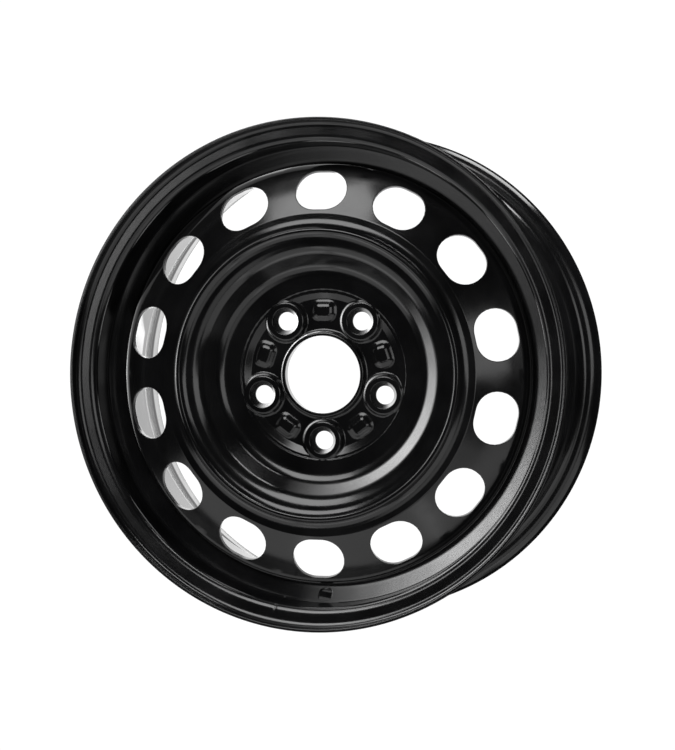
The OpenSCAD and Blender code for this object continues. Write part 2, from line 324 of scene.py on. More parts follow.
def turn(u, v):
    return math.atan2(u[0] * v[1] - u[1] * v[0], u @ v)


class BentLine:
    """A line of corners (radius, height, bend) made of straights and arcs. Its face is on its left."""

    def __init__(self, corners):
        self.runs = []
        self.length = 0.0
        here = np.array(corners[0][:2], float)
        for i in range(1, len(corners)):
            u = unit(corners[i - 1], corners[i])
            end = np.array(corners[i][:2], float)
            bend = corners[i][2] if len(corners[i]) > 2 else 0
            last = i == len(corners) - 1
            angle = 0 if last else turn(u, unit(corners[i], corners[i + 1]))
            stop = end - u * bend * math.tan(abs(angle) / 2)
            self.add(("line", here, u), (stop - here) @ u)
            here = stop
            if bend and abs(angle) > NEARLY_ZERO:
                side = math.copysign(1, angle)
                centre = here + left_of(u) * side * bend
                self.add(("arc", centre, here - centre, u, side / bend), bend * abs(angle))
                here = self.at(self.length)[0]

    def add(self, run, length):
        if length > NO_LENGTH:
            self.runs.append((self.length, length, run))
            self.length += length

    def at(self, s):
        """Place and left-hand normal at a distance along the line."""
        reached = (r for r in reversed(self.runs) if s >= r[0] - NO_LENGTH)
        start, _, run = next(reached, self.runs[0])
        t = s - start
        if run[0] == "line":
            return run[1] + run[2] * t, left_of(run[2])
        _, centre, spoke, u, curve = run
        c, n = math.cos(curve * t), math.sin(curve * t)
        place = centre + np.array([spoke[0] * c - spoke[1] * n, spoke[0] * n + spoke[1] * c])
        ahead = np.array([u[0] * c - u[1] * n, u[0] * n + u[1] * c])
        return place, left_of(ahead)

    def stops(self, start=0.0, end=None):
        """Distances that sample the line between two of its own distances."""
        end = self.length if end is None else end
        out = [start]
        for first, length, run in self.runs:
            a, b = max(first, start), min(first + length, end)
            if b - a < NO_LENGTH:
                continue
            step = LINE_STEP if run[0] == "line" else ARC_STEP / abs(run[4])
            count = max(1, math.ceil((b - a) / step - NEARLY_ZERO))
            out += [a + (b - a) * k / count for k in range(1, count + 1)]
        return out

    def nearest(self, place, facing):
        """Distance along the line of its point nearest to a place, where it faces about a given way."""
        best = (math.inf, 0.0)
        for s in np.arange(0, self.length, NEAREST_STEP):
            here, normal = self.at(s)
            if normal @ facing > FACING_SHARE:
                best = min(best, (math.dist(here, place), s))
        return best[1]


def other_side(corners, thickness):
    """The same corners one sheet thickness to the right, with bends that keep the sheet even."""
    out = []
    last = len(corners) - 1
    for i, corner in enumerate(corners):
        u = unit(corners[max(i, 1) - 1], corners[max(i, 1)])
        v = unit(corners[min(i, last - 1)], corners[min(i, last - 1) + 1])
        shift = -(left_of(u) + left_of(v)) / (1 + u @ v)
        bend = corner[2] + thickness * math.copysign(1, turn(u, v))
        place = np.array(corner[:2]) + shift * thickness
        out.append((place[0], place[1], max(bend, LEAST_BEND)))
    return out


# Meshes with exact normals

class Skin:
    """Points, normals and faces of a piece, in millimetres."""

    def __init__(self):
        self.points = []
        self.normals = []
        self.faces = []

    def add(self, points, normals):
        first = len(self.points)
        self.points.extend(np.asarray(points, float).reshape(-1, 3))
        self.normals.extend(np.asarray(normals, float).reshape(-1, 3))
        return np.arange(first, len(self.points))

    def quads(self, rows, closed=False):
        """Faces between rows of points, each row running to the left of the way that the rows go."""
        rows = np.asarray(rows)
        if closed:
            rows = np.concatenate([rows, rows[:, :1]], axis=1)
        a, b = rows[:-1, :-1], rows[1:, :-1]
        c, d = rows[1:, 1:], rows[:-1, 1:]
        self.faces.extend(np.stack([a, b, c, d], axis=-1).reshape(-1, 4).tolist())

    def build(self, name, body_material, node):
        points = np.array(self.points)
        keys = np.round(points, MERGE_DIGITS)
        _, first, group = np.unique(keys, axis=0, return_index=True, return_inverse=True)
        group = group.reshape(-1)
        normals = np.zeros((len(first), 3))
        np.add.at(normals, group, np.array(self.normals))
        normals /= np.linalg.norm(normals, axis=1, keepdims=True)
        faces = []
        for face in self.faces:
            corners = list(dict.fromkeys(int(group[k]) for k in face))
            if len(corners) > 2:
                faces.append(corners)
        mesh = bpy.data.meshes.new(name)
        mesh.from_pydata((points[first] * MM).tolist(), [], faces)
        mesh.polygons.foreach_set("use_smooth", [True] * len(mesh.polygons))
        mesh.normals_split_custom_set_from_vertices(normals.tolist())
        mesh.materials.append(body_material)
        mesh.update()
        piece = bpy.data.objects.new(name, mesh)
        bpy.context.scene.collection.objects.link(piece)
        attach(piece, "root")
        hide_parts(node)
        return piece


def swept(line, stops, angles, dent=None):
    """Rows of points and normals of a line turned round the axis. dent moves points along their normal."""
    points, normals = [], []
    for s in stops:
        place, face = line.at(s)
        c, n = np.cos(angles), np.sin(angles)
        normal = np.stack([face[0] * c, face[0] * n, np.full_like(c, face[1])], axis=-1)
        point = np.stack([place[0] * c, place[0] * n, np.full_like(c, place[1])], axis=-1)
        if dent:
            depth, slope = dent(place, face, angles)
            around = np.stack([-n, c, np.zeros_like(c)], axis=-1)
            point = point + normal * depth[:, None]
            normal = normal - around * slope[:, None]
            normal /= np.linalg.norm(normal, axis=1, keepdims=True)
        points.append(point)
        normals.append(normal)
    return np.array(points), np.array(normals)


def turned_about(points, x, y):
    """Moves points from the axis to a parallel axis."""
    return points + np.array([x, y, 0.0])


# Holes punched through a turned sheet

def window_border(low, high, rows, columns):
    """Border of a window in distance and angle, counter-clockwise from its low corner."""
    (s0, a0), (s1, a1) = low, high
    side = [(s0 + (s1 - s0) * k / rows, a0) for k in range(rows)]
    side += [(s1, a0 + (a1 - a0) * k / columns) for k in range(columns)]
    side += [(s1 + (s0 - s1) * k / rows, a1) for k in range(rows)]
    side += [(s0, a1 + (a0 - a1) * k / columns) for k in range(columns)]
    return np.array(side)


def rounded_outline(height, width, corner, rows, columns):
    """Points of a rounded rectangle on rays to a window's border, with their outward normals."""
    border = window_border((-height / 2, -width / 2), (height / 2, width / 2), rows, columns)
    core = np.array([height / 2 - corner, width / 2 - corner])
    low, high = np.zeros(len(border)), np.ones(len(border))
    for _ in range(HALVINGS):
        middle = (low + high) / 2
        past = np.maximum(np.abs(border * middle[:, None]) - core, 0)
        inside = np.hypot(past[:, 0], past[:, 1]) < corner
        low, high = np.where(inside, middle, low), np.where(inside, high, middle)
    points = border * low[:, None]
    past = np.maximum(np.abs(points) - core, 0) * np.sign(points)
    return points, past / np.linalg.norm(past, axis=1, keepdims=True)


def punched_window(skin, line, centre_s, centre_angle, half_height, half_angle, outline, edge, columns):
    """Fills a window of a turned line round a punched hole and gives the hole's inner loop."""
    shape, outward = outline
    place, face = line.at(centre_s)
    ahead = line.at(centre_s + AHEAD_STEP)[0] - place
    ahead /= np.linalg.norm(ahead)
    spoke = np.array([math.cos(centre_angle), math.sin(centre_angle), 0])
    around = np.array([-spoke[1], spoke[0], 0])
    up = np.array([0, 0, 1.0])
    origin = spoke * place[0] + up * place[1]
    along = spoke * ahead[0] + up * ahead[1]
    normal = spoke * face[0] + up * face[1]

    def on_sheet(flat):
        """Distance, angle and lift of flat places carried on to the turned sheet."""
        lift = np.zeros(len(flat))
        for _ in range(LIFT_ROUNDS):
            p = origin + flat[:, :1] * along + flat[:, 1:] * around + lift[:, None] * normal
            radius = np.hypot(p[:, 0], p[:, 1])
            lift -= (radius - place[0]) * face[0] + (p[:, 2] - place[1]) * face[1]
        s = centre_s + (radius - place[0]) * ahead[0] + (p[:, 2] - place[1]) * ahead[1]
        a = centre_angle + np.arctan2(p @ around, p @ spoke)
        return s, a, lift

    border = window_border(
        (centre_s - half_height, centre_angle - half_angle),
        (centre_s + half_height, centre_angle + half_angle), WINDOW_ROWS, columns)
    hole_s, hole_a, lift = on_sheet(shape + outward * edge)
    hole = np.stack([hole_s, hole_a], axis=-1)
    rows = []
    for k in range(WINDOW_RINGS + 1):
        share = k / WINDOW_RINGS
        points, normals = [], []
        for s, a in border * (1 - share) + hole * share:
            point, face_here = line.at(s)
            c, n = math.cos(a), math.sin(a)
            points.append((point[0] * c, point[0] * n, point[1]))
            normals.append((face_here[0] * c, face_here[0] * n, face_here[1]))
        rows.append(skin.add(points, normals))
    surface = np.array(normals)
    inward = -(outward[:, :1] * along + outward[:, 1:] * around)
    for k in range(1, EDGE_STEPS + 1):
        angle = math.pi / 2 * k / EDGE_STEPS
        flat = shape + outward * edge * (1 - math.sin(angle))
        depth = lift - edge * (1 - math.cos(angle))
        points = origin + flat[:, :1] * along + flat[:, 1:] * around + depth[:, None] * normal
        rows.append(skin.add(points, surface * math.cos(angle) + inward * math.sin(angle)))
    # The rows go inwards, so their points run clockwise seen along them
    skin.quads([row[::-1] for row in rows], closed=True)
    return rows[-1]


def window_ends(line, centres, half_height):
    """Distances along a line where its windows start and end, with the line's own ends."""
    borders = [c + d for c in sorted(centres) for d in (-half_height, half_height)]
    return [0.0] + borders + [line.length]


def join_loops(skin, front, back):
    """Wall of a hole between the loop of its front and the mirrored loop of its back."""
    mirrored = np.roll(back[::-1], WINDOW_ROWS + 1)
    skin.quads([front[::-1], mirrored[::-1]], closed=True)


# Rim

def rim_corners():
    return [
        (FLANGE_R, OUTBOARD_Z + LIP_REACH, LIP_EDGE),
        (FLANGE_R, OUTBOARD_Z, FRONT_ROLL),
        (BEAD_R, OUTBOARD_Z, FRONT_CORNER),
        (SEAT_END_R, OUTBOARD_Z - SEAT_WIDTH, HUMP_FOOT_BEND),
        (HUMP_R, OUTBOARD_Z - HUMP_REACH, HUMP_ROUND),
        (WELL_R, WELL_TOP_Z, WELL_TOP_BEND),
        (WELL_R, WELL_TOP_Z - WELL_WIDTH, WELL_BEND),
        (HUMP_R, INBOARD_Z + HUMP_REACH, HUMP_ROUND),
        (SEAT_END_R, INBOARD_Z + SEAT_WIDTH, HUMP_FOOT_BEND),
        (BEAD_R, INBOARD_Z, SEAT_CORNER),
        (FLANGE_R, INBOARD_Z, FLANGE_ROLL),
        (FLANGE_R, INBOARD_Z - LIP_REACH, LIP_EDGE),
    ]


def seam_dent(place, face, angles):
    """Low ridge of the planed butt weld across the bead seats, not on the flanges or in the well."""
    across = (angles - SEAM_ANGLE) * place[0] / SEAM_WIDTH
    share = min((place[0] - SEAM_START_R) / SEAM_FADE, (SEAM_END_R - place[0]) / SEAM_FADE, 1)
    depth = SEAM_HEIGHT * np.exp(-across ** 2) * max(share, 0)
    return depth, -2 * across * depth / SEAM_WIDTH


def spread_angles(base, centre, reach, step):
    """Even angles round the axis, with finer ones near one place."""
    coarse = [a for a in base if abs(a - centre) > reach + NO_LENGTH]
    count = round(2 * reach / step)
    fine = [centre - reach + 2 * reach * k / count for k in range(count + 1)]
    return np.array(sorted(coarse + fine))


def rim(material):
    outer = rim_corners()
    inner = [(r, z, LIP_EDGE if i in (0, len(outer) - 1) else bend)
             for i, (r, z, bend) in enumerate(other_side(outer, RIM_SHEET))]
    middle = (FLANGE_R - RIM_SHEET / 2, OUTBOARD_Z + LIP_REACH)
    line = BentLine([middle] + outer + inner[::-1] + [middle])
    half_angle = VALVE_WINDOW_HALF_ANGLE
    half_height = VALVE_REACH + VALVE_WINDOW_MARGIN
    angles = np.radians(np.arange(0, 360, RIM_STEP_DEGREES))
    angles = spread_angles(list(angles), SEAM_ANGLE, SEAM_FINE_REACH, SEAM_FINE_STEP)
    angles = spread_angles(list(angles), VALVE_ANGLE, half_angle, VALVE_FINE_STEP)
    place = np.array([
        WELL_R + (HUMP_R - WELL_R) * VALVE_HEIGHT, WELL_TOP_Z + WELL_WALL_RUN * VALVE_HEIGHT])
    out = np.array([math.cos(WELL_WALL_ANGLE), -math.sin(WELL_WALL_ANGLE)])
    centres = [line.nearest(place, out), line.nearest(place - out * RIM_SHEET, -out)]
    skin = Skin()
    outline = rounded_outline(
        2 * VALVE_REACH, 2 * VALVE_R, VALVE_R - NEARLY_ZERO, WINDOW_ROWS, VALVE_COLUMNS)
    loops = [
        punched_window(
            skin, line, s, VALVE_ANGLE, half_height, half_angle, outline, VALVE_EDGE, VALVE_COLUMNS)
        for s in centres]
    join_loops(skin, loops[0], loops[1])
    gap = [k for k, a in enumerate(angles[:-1])
           if abs((a + angles[k + 1]) / 2 - VALVE_ANGLE) < half_angle]
    ends = window_ends(line, centres, half_height)
    for k in range(len(ends) - 1):
        window = k % 2 == 1
        stops = line.stops(ends[k], ends[k + 1])
        if window:
            stops = np.linspace(ends[k], ends[k + 1], WINDOW_ROWS + 1)
        points, normals = swept(line, stops, angles, seam_dent)
        rows = skin.add(points, normals).reshape(len(stops), len(angles))
        if window:
            skin.quads(np.concatenate([rows[:, gap[-1] + 1:], rows[:, :gap[0] + 1]], axis=1))
        else:
            skin.quads(rows, closed=True)
    return skin.build("rim", material, "rim_barrel")


# Disc outside the hub

# Dish's top, ledge, crown and groove as in the solid: radius, height, bend
CREST_SHEET = (
    (DISH_TOP_R, DISH_TOP_Z, DISH_TOP_BEND),
    (LEDGE_R, LEDGE_Z, LEDGE_BEND),
    (CROWN_INNER_R, CROWN_Z, CROWN_BEND),
    (CROWN_OUTER_R, CROWN_Z, CROWN_BEND),
    (GROOVE_R, GROOVE_Z, GROOVE_BEND),
)


def disc_corners(crest):
    """Corners of the disc's face, with the given ones from the dish's top to the groove."""
    bulge_r = (CONE_TOP_R + WELL_INNER_R) / 2
    bulge_z = (CONE_TOP_Z + CONE_FOOT_Z) / 2 + CONE_BULGE
    return [
        (HUB_SEAM_R - DISC_SHEET, HUB_RING_Z, 0),
        (DISH_FOOT_R, HUB_RING_Z, DISH_FOOT_BEND),
        *crest,
        (CONE_TOP_R, CONE_TOP_Z, CONE_EDGE_BEND),
        (bulge_r, bulge_z, CONE_BULGE_BEND),
        (WELL_INNER_R, CONE_FOOT_Z, SKIRT_BEND),
        (WELL_INNER_R, SKIRT_END_Z, SKIRT_EDGE),
    ]


def drain_dent(place, face, angles):
    """Grooves down the outside of the skirt and its bend."""
    depth, slope = np.zeros_like(angles), np.zeros_like(angles)
    if face[0] < DRAIN_FACING:
        return depth, slope
    for middle in DRAIN_ANGLES:
        across = np.abs((angles - middle) * place[0]) / DRAIN_HALF_WIDTH
        depth -= DRAIN_DEPTH * np.clip(DRAIN_REACH - across, 0, DRAIN_SIDE) / DRAIN_SIDE
    return depth, slope


def disc_shell(skin):
    front = disc_corners(CREST_FRONT)
    plain = disc_corners(CREST_SHEET)
    hub_side = [
        (BORE_R, DISC_SHEET, 0),
        (RECESS_FOOT_R + BACK_FACE_REACH, DISC_SHEET, BACK_FACE_BEND),
        (HUB_EDGE_R, HUB_RING_Z, HUB_EDGE_BEND),
    ]
    back = other_side(hub_side + plain[1:], DISC_SHEET)[::-1]
    back[0] = (back[0][0], back[0][1], SKIRT_EDGE)
    back[-1] = (BACK_SEAM_R, 0.0, 0)
    line = BentLine([(HUB_SEAM_R, HUB_RING_Z, 0)] + front[1:] + back)
    columns = DISC_SECTOR_STEPS
    count = columns * VENT_COUNT
    half_sector = math.pi / VENT_COUNT
    half_height = VENT_HEIGHT / 2 + VENT_WINDOW_MARGIN
    angles = VENT_ANGLE - half_sector + 2 * math.pi * np.arange(count) / count
    out = np.array([math.sin(CONE_ANGLE), math.cos(CONE_ANGLE)])
    place = np.array([VENT_R, VENT_Z])
    centres = [line.nearest(place, out), line.nearest(place - out * DISC_SHEET, -out)]
    outline = rounded_outline(VENT_HEIGHT, VENT_WIDTH, VENT_CORNER, WINDOW_ROWS, columns)
    for k in range(VENT_COUNT):
        middle = VENT_ANGLE + 2 * math.pi * k / VENT_COUNT
        loops = [
            punched_window(skin, line, s, middle, half_height, half_sector, outline, VENT_EDGE, columns)
            for s in centres]
        join_loops(skin, loops[0], loops[1])
    ends = window_ends(line, centres, half_height)
    for k in range(0, len(ends) - 1, 2):
        stops = line.stops(ends[k], ends[k + 1])
        points, normals = swept(line, stops, angles, drain_dent)
        skin.quads(skin.add(points, normals).reshape(len(stops), len(angles)), closed=True)
    return angles


# Hub plate, drawn as heights over the plane of the mounting face

def smooth_max(a, b, blend):
    gap = np.maximum(blend - np.abs(a - b), 0)
    return np.maximum(a, b) + gap ** 2 / (4 * blend)


def smooth_min(a, b, blend):
    return -smooth_max(-a, -b, blend)


def line_heights(line):
    """A function that gives the height of a section line at a radius."""
    places = np.array([line.at(s)[0] for s in np.linspace(0, line.length, HEIGHT_SAMPLES)])
    return lambda radius: np.interp(radius, places[:, 0], places[:, 1])


hub_front_line = BentLine([
    (COLLAR_SEAM_R, COLLAR_Z, 0),
    (BORE_R + COLLAR_WALL, COLLAR_Z, COLLAR_ROUND),
    (BORE_R + COLLAR_WALL + COLLAR_FLARE, DISC_SHEET, COLLAR_BEND),
    (RECESS_FOOT_R, DISC_SHEET, RECESS_BEND),
    (RECESS_TOP_R, HUB_RING_Z - HUB_STEP, RECESS_TOP_BEND),
    (HUB_EDGE_R - HUB_STEP, HUB_RING_Z - HUB_STEP, HUB_STEP_FOOT_BEND),
    (HUB_EDGE_R, HUB_RING_Z, HUB_STEP_TOP_BEND),
    (HUB_SEAM_R + HUB_SEAM_OVERLAP, HUB_RING_Z, 0),
])
hub_base = line_heights(hub_front_line)


def studs():
    """Middles of the stud holes."""
    angles = [STUD_ANGLE + 2 * math.pi * k / STUD_COUNT for k in range(STUD_COUNT)]
    return [(STUD_R * math.cos(a), STUD_R * math.sin(a)) for a in angles]


def pads():
    """Angles of the relief pads."""
    return [PAD_ANGLE + 2 * math.pi * k / STUD_COUNT for k in range(STUD_COUNT)]


def inside_pad(x, y, angle, rim_width):
    """Distance inside a pad's rounded outline, less a rim."""
    along = x * math.cos(angle) + y * math.sin(angle) - (PAD_START_R + PAD_END_R) / 2
    across = -x * math.sin(angle) + y * math.cos(angle)
    half = np.array([(PAD_END_R - PAD_START_R) / 2, PAD_WIDTH / 2]) - rim_width
    corner = PAD_CORNER - rim_width
    u = np.abs(along) - half[0] + corner
    v = np.abs(across) - half[1] + corner
    far = np.hypot(np.maximum(u, 0), np.maximum(v, 0)) + np.minimum(np.maximum(u, v), 0)
    return corner - far


def front_height(x, y):
    height = hub_base(np.hypot(x, y))
    for stud_x, stud_y in studs():
        far = np.hypot(x - stud_x, y - stud_y)
        side = BOSS_Z - (far - BOSS_R) * math.tan(BOSS_SIDE_ANGLE)
        boss = smooth_min(side, np.full_like(side, BOSS_Z), BOSS_ROUND)
        height = smooth_max(height, boss, FOOT_BLEND)
    for angle in pads():
        rise = inside_pad(x, y, angle, 0) * math.tan(PAD_SIDE_ANGLE)
        pad = smooth_min(rise, np.full_like(rise, PAD_HEIGHT), PAD_ROUND)
        height = smooth_max(height, DISC_SHEET + pad, FOOT_BLEND)
    return height


def back_height(x, y):
    height = np.zeros_like(x)
    for angle in pads():
        rise = inside_pad(x, y, angle, PAD_RIM) * math.tan(HOLLOW_SIDE_ANGLE)
        hollow = smooth_min(rise, np.full_like(rise, PAD_HOLLOW), HOLLOW_ROUND)
        height = smooth_max(height, hollow, HOLLOW_EDGE_BLEND)
    return height


def circle(radius, count, x=0.0, y=0.0, first=0.0):
    a = first + 2 * math.pi * np.arange(count) / count
    return np.stack([x + radius * np.cos(a), y + radius * np.sin(a)], axis=-1)


def thinned(loops, fillers, gap):
    """Points of the loops, then filler points that keep a gap from every point before them."""
    cells = {}
    kept = []

    def cell(p):
        return int(math.floor(p[0] / gap)), int(math.floor(p[1] / gap))

    def near(p):
        i, j = cell(p)
        for a in (i - 1, i, i + 1):
            for b in (j - 1, j, j + 1):
                for q in cells.get((a, b), ()):
                    if (p[0] - q[0]) ** 2 + (p[1] - q[1]) ** 2 < gap * gap:
                        return True
        return False

    def keep(p):
        cells.setdefault(cell(p), []).append(p)
        kept.append(p)

    for loop in loops:
        for p in loop:
            keep(p)
    for p in fillers:
        if not near(p):
            keep(p)
    return kept


def height_sheet(skin, height, loops, fillers, gap, facing):
    """A triangle sheet between loops, raised to a height function. The first loop is the outer one."""
    kept = thinned(loops, fillers, gap)
    edges = []
    first = 0
    for loop in loops:
        ring = list(range(first, first + len(loop)))
        edges += [(ring[i], ring[(i + 1) % len(ring)]) for i in range(len(ring))]
        first += len(loop)
    corners = [Vector(p) for p in kept]
    places, _, triangles, *_ = delaunay_2d_cdt(corners, edges, [], 0, NEARLY_ZERO)
    flat = np.array([(p.x, p.y) for p in places])
    triangles = np.array(triangles)
    middle = flat[triangles].mean(axis=1)
    good = inside_loop(middle, loops[0])
    for loop in loops[1:]:
        good &= ~inside_loop(middle, loop)
    x, y = flat[:, 0], flat[:, 1]
    step = SLOPE_STEP
    slope_x = (height(x + step, y) - height(x - step, y)) / (2 * step)
    slope_y = (height(x, y + step) - height(x, y - step)) / (2 * step)
    normals = np.stack([-slope_x, -slope_y, np.ones_like(x)], axis=-1) * facing
    normals /= np.linalg.norm(normals, axis=1, keepdims=True)
    index = skin.add(np.stack([x, y, height(x, y)], axis=-1), normals)
    chosen = triangles[good]
    a, b, c = flat[chosen[:, 0]], flat[chosen[:, 1]], flat[chosen[:, 2]]
    ab, ac = b - a, c - a
    leftward = ab[:, 0] * ac[:, 1] - ab[:, 1] * ac[:, 0] > 0
    flip = leftward != (facing > 0)
    chosen[flip] = chosen[flip][:, ::-1]
    skin.faces.extend(index[chosen].tolist())


def inside_loop(points, loop):
    """True for points inside a convex counter-clockwise loop."""
    loop = np.asarray(loop)
    ahead = np.roll(loop, -1, axis=0) - loop
    inside = np.ones(len(points), bool)
    for corner, d in zip(loop, ahead):
        inside &= d[0] * (points[:, 1] - corner[1]) - d[1] * (points[:, 0] - corner[0]) > 0
    return inside


def between_seams(points, outer_r, hole_r, margins):
    """Those points that lie between the collar's seam, an outer seam and the seams round the studs."""
    collar_margin, outer_margin, hole_margin = margins
    far = np.hypot(points[:, 0], points[:, 1])
    keep = (far > COLLAR_SEAM_R + collar_margin) & (far < outer_r - outer_margin)
    for x, y in studs():
        keep &= np.hypot(points[:, 0] - x, points[:, 1] - y) > hole_r + hole_margin
    return points[keep]


def swept_loop(skin, line, count, x=0.0, y=0.0):
    """A line turned all the way round an axis at a place."""
    stops = line.stops()
    points, normals = swept(line, stops, 2 * math.pi * np.arange(count) / count)
    skin.quads(skin.add(turned_about(points, x, y), normals).reshape(len(stops), count), closed=True)


def hub(skin, seam_angles):
    bore = BentLine([
        (COLLAR_SEAM_R, 0.0), (BORE_R, 0.0, BORE_EDGE), (BORE_R, COLLAR_Z, BORE_EDGE),
        (COLLAR_SEAM_R, COLLAR_Z)])
    swept_loop(skin, bore, BORE_POINTS)
    seat = BentLine([
        (HOLE_BACK_SEAM_R, 0.0), (STUD_HOLE_R, 0.0, STUD_HOLE_EDGE),
        (STUD_HOLE_R, SEAT_FOOT_Z, NUT_SEAT_FOOT_BEND), (NUT_SEAT_R, BOSS_Z, NUT_SEAT_EDGE),
        (BOSS_SEAM_R, BOSS_Z)])
    round_axis = np.stack([np.cos(seam_angles), np.sin(seam_angles)], axis=-1)
    front_loops = [HUB_SEAM_R * round_axis, circle(COLLAR_SEAM_R, BORE_POINTS)]
    back_loops = [BACK_SEAM_R * round_axis, circle(COLLAR_SEAM_R, BORE_POINTS)]
    rings = [circle(r, count) for start, end, step, count in HUB_RINGS for r in np.arange(start, end, step)]
    start, end, step, count = BOSS_RINGS
    for x, y in studs():
        swept_loop(skin, seat, HOLE_POINTS, x, y)
        front_loops.append(circle(BOSS_SEAM_R, HOLE_POINTS, x, y))
        back_loops.append(circle(HOLE_BACK_SEAM_R, HOLE_POINTS, x, y))
        rings += [circle(r, count, x, y) for r in np.arange(start, end, step)]
    grid = np.arange(-HUB_SEAM_R, HUB_SEAM_R, GRID_STEP)
    lattice = np.array([(x + GRID_SHIFT * (k % 2), y) for k, y in enumerate(grid) for x in grid])
    grid = np.arange(-HUB_SEAM_R, HUB_SEAM_R, PAD_GRID_STEP)
    fine = np.array([(x, y) for y in grid for x in grid])
    depth = np.max([inside_pad(fine[:, 0], fine[:, 1], a, -PAD_GRID_REACH) for a in pads()], axis=0)
    on_pads = fine[depth > 0]
    front_fill = np.concatenate(rings + [on_pads, lattice])
    front_fill = between_seams(front_fill, HUB_SEAM_R, BOSS_SEAM_R, FRONT_MARGINS)
    height_sheet(skin, front_height, front_loops, front_fill, FRONT_GAP, 1)
    back_fill = np.concatenate([on_pads, lattice[::2]])
    back_fill = between_seams(back_fill, BACK_SEAM_R, HOLE_BACK_SEAM_R, BACK_MARGINS)
    height_sheet(skin, back_height, back_loops, back_fill, BACK_GAP, -1)


def disc(material):
    skin = Skin()
    seam_angles = disc_shell(skin)
    hub(skin, seam_angles)
    return skin.build("disc", material, "wheel_disc")


# Welds

def weld_section(share, span):
    """Corners (radius, height) of a bead's section at a share of its length, from the skirt's end."""
    root = np.array([WELL_INNER_R, SKIRT_END_Z])
    length = span * WELL_INNER_R
    run = (share - 0.5) * length
    end = min(1.0, (0.5 - abs(share - 0.5)) * length / WELD_LEG)
    size = math.sqrt(1 - (1 - end) ** 2)
    ripple = WELD_RIPPLE * math.sin(2 * math.pi * run / WELD_RIPPLE_LENGTH)
    out = np.array([-WELD_FOOT, -WELD_LEG]) / math.hypot(WELD_FOOT, WELD_LEG)
    corners = [root]
    for t in np.arange(WELD_ACROSS + 1) / WELD_ACROSS:
        bulge = (WELD_CROWN + ripple) * math.sin(math.pi * t) * size
        leg = np.array([-WELD_LEG * (1 - t), -WELD_FOOT * t]) * size
        corners.append(root + leg + out * bulge)
    return corners


def welds(material):
    skin = Skin()
    span = 2 * math.pi / WELD_COUNT * WELD_SHARE
    for k in range(WELD_COUNT):
        middle = WELD_ANGLE + 2 * math.pi * k / WELD_COUNT
        rows = []
        for share in np.arange(WELD_STEPS + 1) / WELD_STEPS:
            angle = middle + span * (share - 0.5)
            c, n = math.cos(angle), math.sin(angle)
            rows.append([(r * c, r * n, z) for r, z in weld_section(share, span)])
        rows = np.array(rows)
        ahead = np.gradient(rows, axis=0)
        side = np.roll(rows, -1, axis=1) - np.roll(rows, 1, axis=1)
        normals = np.cross(ahead, side)
        normals /= np.maximum(np.linalg.norm(normals, axis=2, keepdims=True), NO_LENGTH)
        # A bead's ends are points, where the normal has no length
        normals[np.linalg.norm(normals, axis=2) < 0.5] = (0, 0, -1)
        index = skin.add(rows, normals).reshape(WELD_STEPS + 1, WELD_ACROSS + 2)
        skin.quads(index, closed=True)
    return skin.build("weld_bead_set", material, "weld_beads")


# Paint

# Paint of each piece: colour, roughness, strength of the orange peel
RIM_PAINT = ((0.0025, 0.0025, 0.0027), 0.17, 0.05)
DISC_PAINT = ((0.0025, 0.0025, 0.0027), 0.16, 0.05)
WELD_PAINT = ((0.006, 0.006, 0.006), 0.25, 0.15)
SPECULAR = 0.5
# Scale and detail of the noises for gloss, tint and orange peel
GLOSS_NOISE = (38, 3)
TINT_NOISE = (24, 4)
PEEL_NOISE = (420, 2)
GLOSS_NOISE_RANGE = (0.3, 0.7)
GLOSS_CHANGE = (-0.03, 0.04)
TINT_NOISE_RANGE = (0.35, 0.75)
TINT_GAIN = 1.7
TINT_LIFT = 0.002
PEEL_DISTANCE = 0.0002


def satin_black(name, colour, roughness, peel):
    """Satin black paint: an orange-peel skin, cloudy gloss and a faint cloudy tint."""
    material = bpy.data.materials.new(name)
    material.use_nodes = True
    tree = material.node_tree
    shader = tree.nodes["Principled BSDF"]
    shader.inputs["Specular IOR Level"].default_value = SPECULAR
    place = tree.nodes.new("ShaderNodeTexCoord")

    def noise(scale, detail):
        made = tree.nodes.new("ShaderNodeTexNoise")
        made.inputs["Scale"].default_value = scale
        made.inputs["Detail"].default_value = detail
        tree.links.new(place.outputs["Object"], made.inputs["Vector"])
        return made.outputs["Fac"]

    gloss = tree.nodes.new("ShaderNodeMapRange")
    gloss.inputs["From Min"].default_value = GLOSS_NOISE_RANGE[0]
    gloss.inputs["From Max"].default_value = GLOSS_NOISE_RANGE[1]
    gloss.inputs["To Min"].default_value = roughness + GLOSS_CHANGE[0]
    gloss.inputs["To Max"].default_value = roughness + GLOSS_CHANGE[1]
    tree.links.new(noise(*GLOSS_NOISE), gloss.inputs["Value"])
    tree.links.new(gloss.outputs["Result"], shader.inputs["Roughness"])
    tint = tree.nodes.new("ShaderNodeValToRGB")
    dark, pale = tint.color_ramp.elements
    dark.position, pale.position = TINT_NOISE_RANGE
    dark.color = (*colour, 1)
    pale.color = (*(c * TINT_GAIN + TINT_LIFT for c in colour), 1)
    tree.links.new(noise(*TINT_NOISE), tint.inputs["Fac"])
    tree.links.new(tint.outputs["Color"], shader.inputs["Base Color"])
    bump = tree.nodes.new("ShaderNodeBump")
    bump.inputs["Strength"].default_value = peel
    bump.inputs["Distance"].default_value = PEEL_DISTANCE
    tree.links.new(noise(*PEEL_NOISE), bump.inputs["Height"])
    tree.links.new(bump.outputs["Normal"], shader.inputs["Normal"])
    return material


# Stage

FLOOR_HALF = 12.0
FLOOR_GLOW = 1.05


